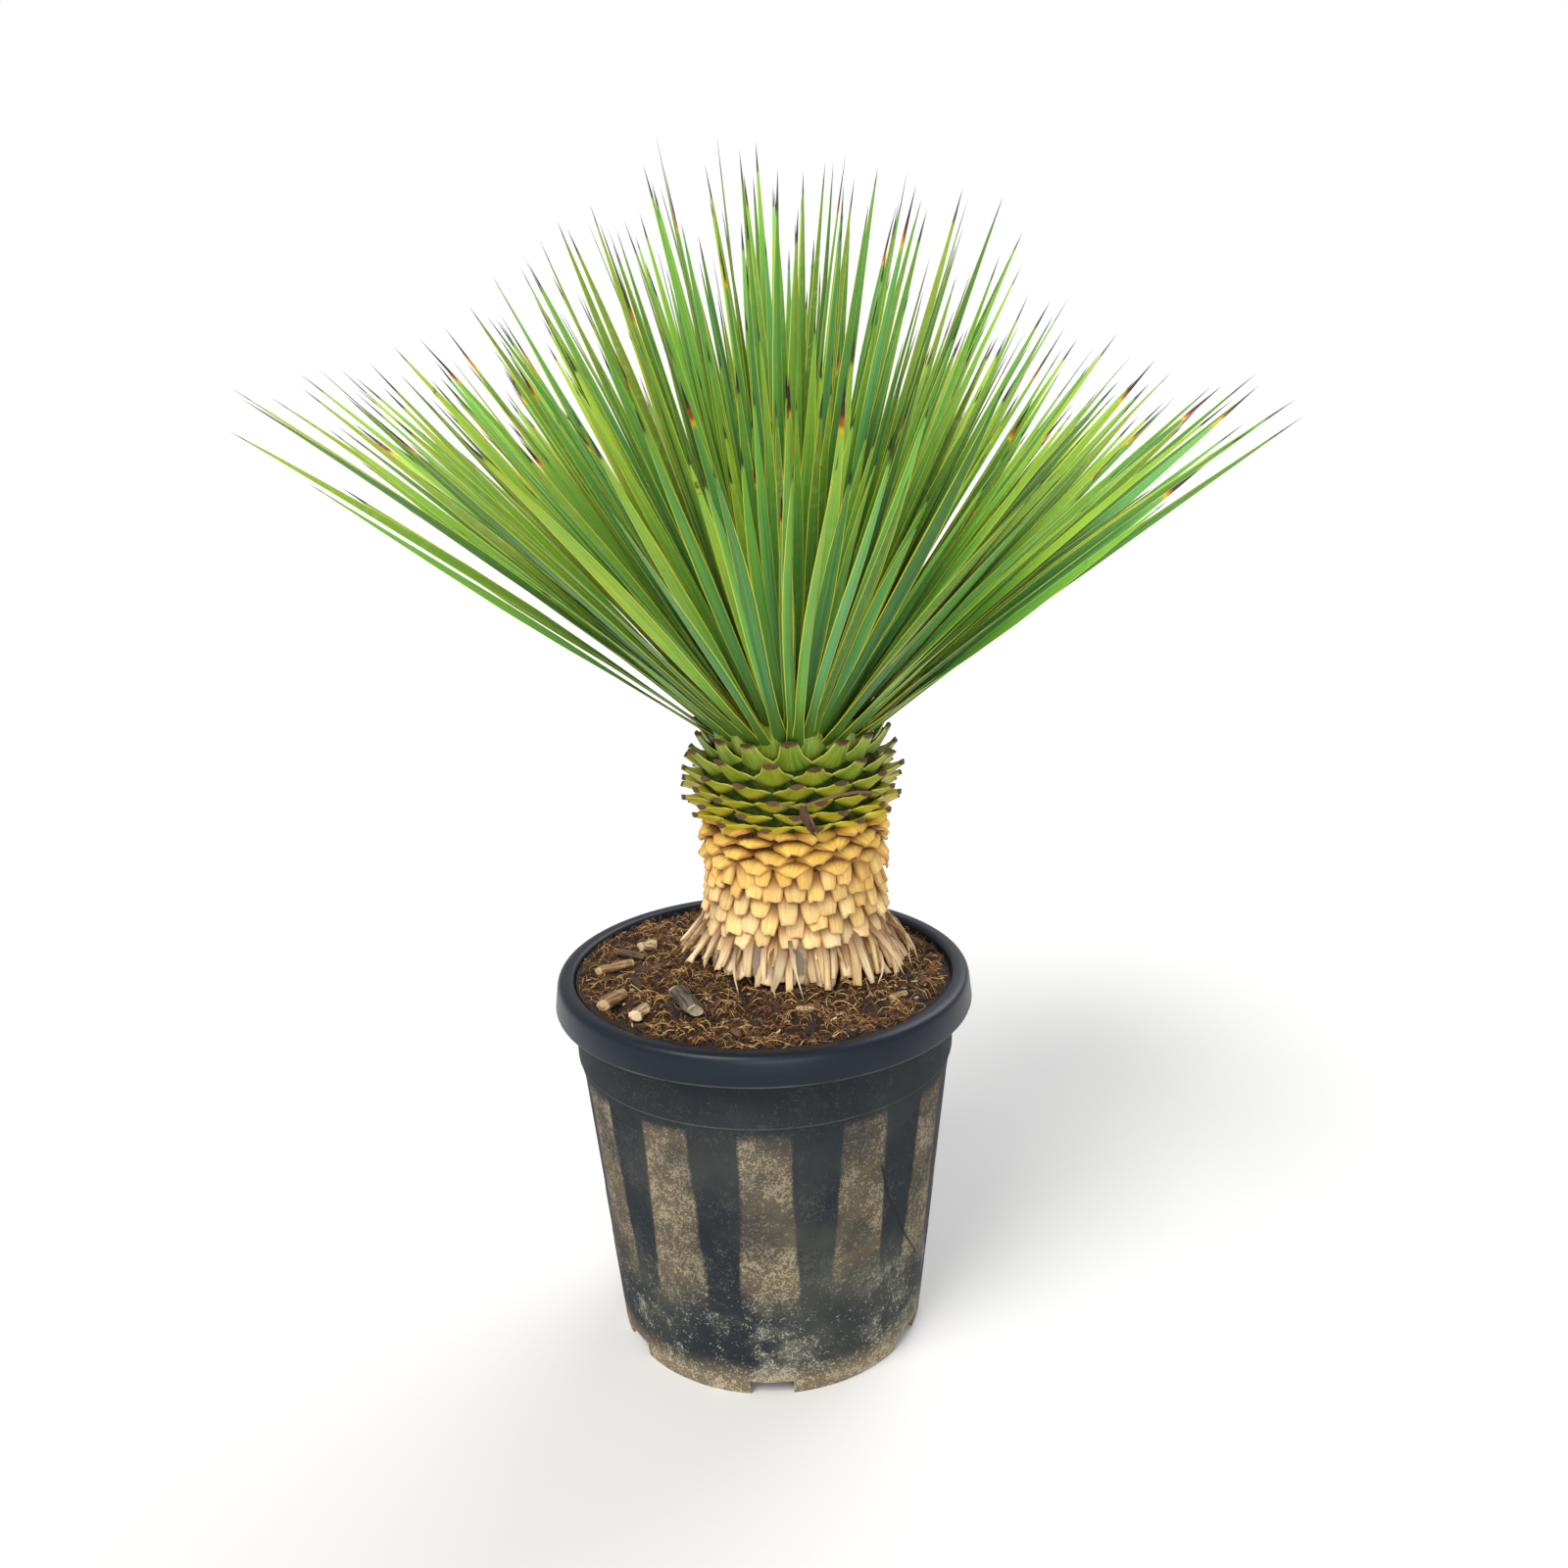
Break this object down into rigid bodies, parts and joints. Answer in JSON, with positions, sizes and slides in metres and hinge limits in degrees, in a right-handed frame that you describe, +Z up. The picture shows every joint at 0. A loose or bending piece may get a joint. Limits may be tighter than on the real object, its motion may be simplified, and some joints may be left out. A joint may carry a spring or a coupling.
{
  "type": "potted yucca",
  "caption": "Short trunked yucca with a fan of long narrow leaves over cut leaf bases, standing in soil in a tapered plastic nursery pot",
  "frame": {"origin": "centre of the pot's foot, on the plane that the pot stands on", "axes": "+Z up along the pot's axis, -Y to the front, +X to the right"},
  "size_m": [0.7817, 0.7425, 0.9568],
  "materials": {
    "pot_plastic": "dark slate moulded plastic, dusty on the wall, cleaner on the rim",
    "soil_coir": "dark brown coir and peat with tan fibres",
    "dry_leaf_base": "dry straw-coloured leaf bases, paler toward the soil",
    "green_leaf_base": "waxy yellow-green cut leaf bases with brown cut ends",
    "leaf_green": "satin green leaves with pale yellow margins and brown tips",
    "chip_wood": "rough weathered wood"
  },
  "bodies": {
    "root": {"pot": "pot_plastic", "soil": "soil_coir", "trunk_dry_bases": "dry_leaf_base", "trunk_green_bases": "green_leaf_base", "leaf_crown": "leaf_green", "wood_chip_1": "chip_wood", "wood_chip_2": "chip_wood", "wood_chip_3": "chip_wood", "wood_chip_4": "chip_wood", "wood_chip_5": "chip_wood", "wood_chip_6": "chip_wood", "wood_chip_7": "chip_wood", "wood_chip_8": "chip_wood", "wood_chip_9": "chip_wood"}
  },
  "joints": []
}
